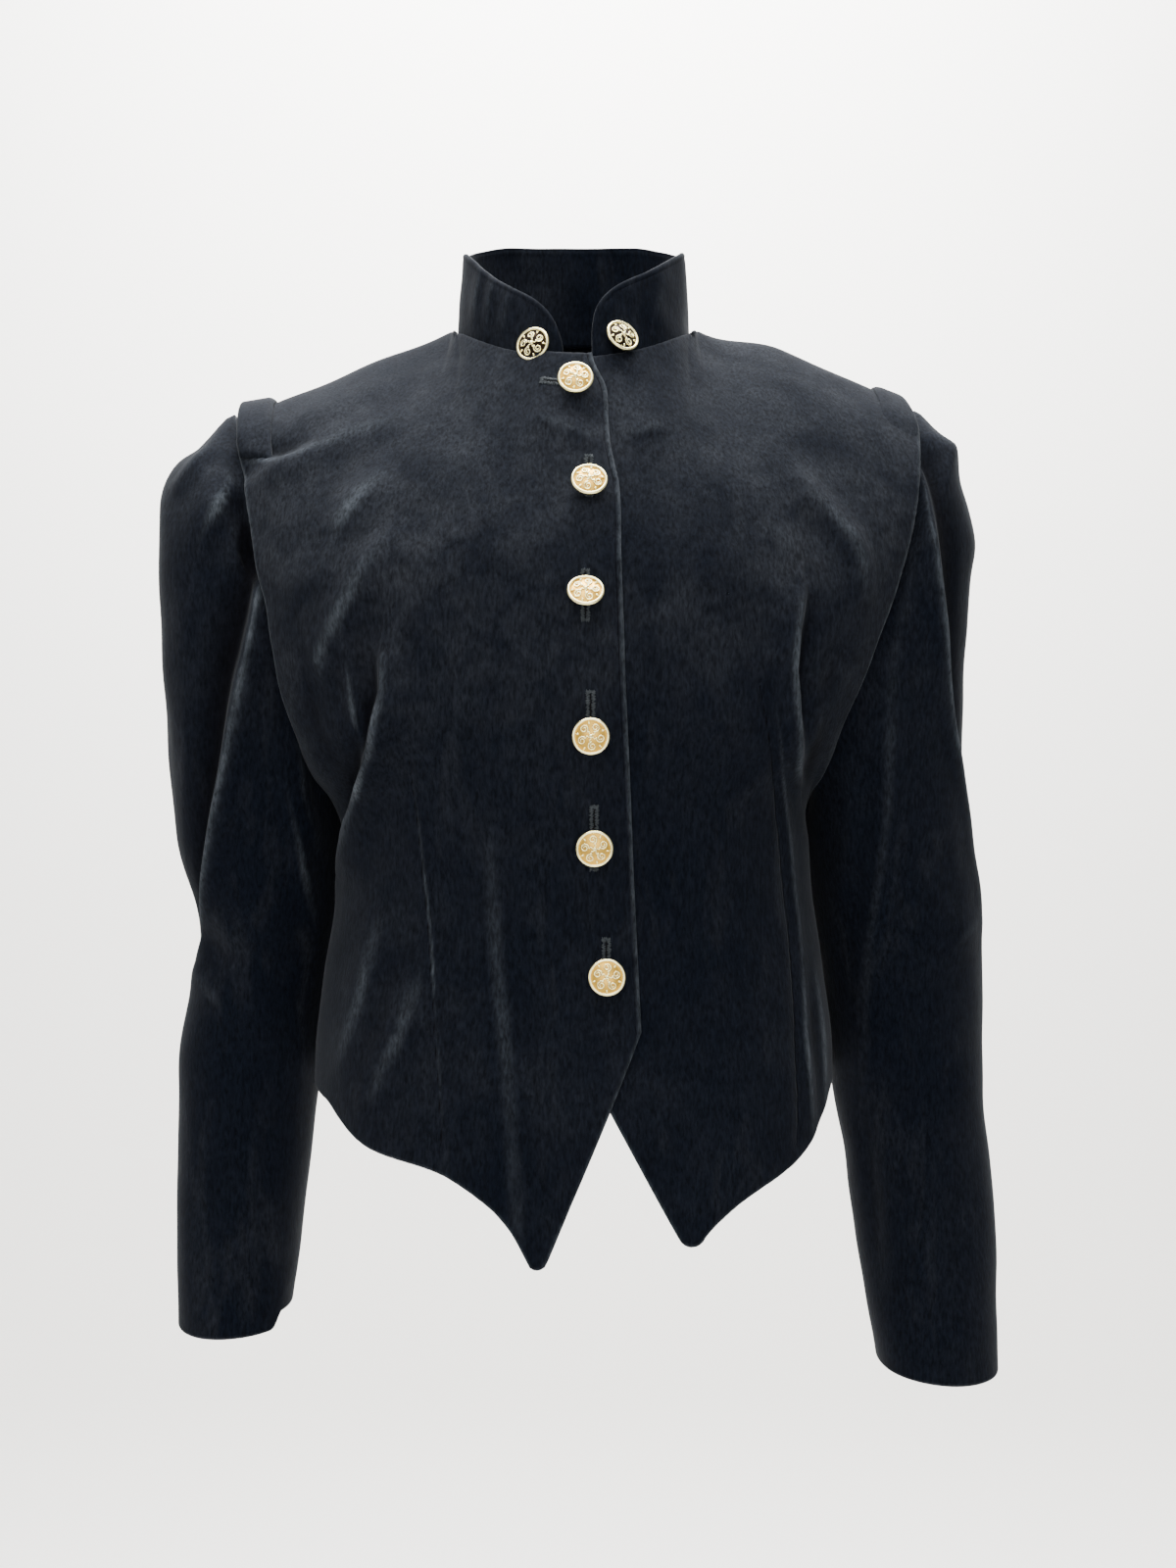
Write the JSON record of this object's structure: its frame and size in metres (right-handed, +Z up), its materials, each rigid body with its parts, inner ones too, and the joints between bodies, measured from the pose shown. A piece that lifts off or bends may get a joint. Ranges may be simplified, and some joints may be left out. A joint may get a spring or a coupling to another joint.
{
  "type": "cropped jacket",
  "caption": "Cropped velvet jacket in its worn form, hollow, with a stand collar, puffed sleeve heads, a pointed front hem and gilt openwork shank buttons.",
  "frame": {"origin": "middle between the two points where the neck seam meets the shoulder seams", "axes": "+Z up, -Y the way the front faces, -X the wearer's right side"},
  "size_m": [0.5449, 0.2491, 0.737],
  "materials": {
    "velvet": "black cotton velvet with a short brushed nap",
    "gilt": "gilt openwork over a dark ground"
  },
  "bodies": {
    "root": {"front_right": "velvet", "front_left": "velvet", "back": "velvet", "collar": "velvet", "sleeve_right": "velvet", "sleeve_left": "velvet", "shoulder_band_right": "velvet", "shoulder_band_left": "velvet", "button_1": "gilt", "button_2": "gilt", "button_3": "gilt", "button_4": "gilt", "button_5": "gilt", "button_6": "gilt", "collar_button_right": "gilt", "collar_button_left": "gilt"}
  },
  "joints": []
}
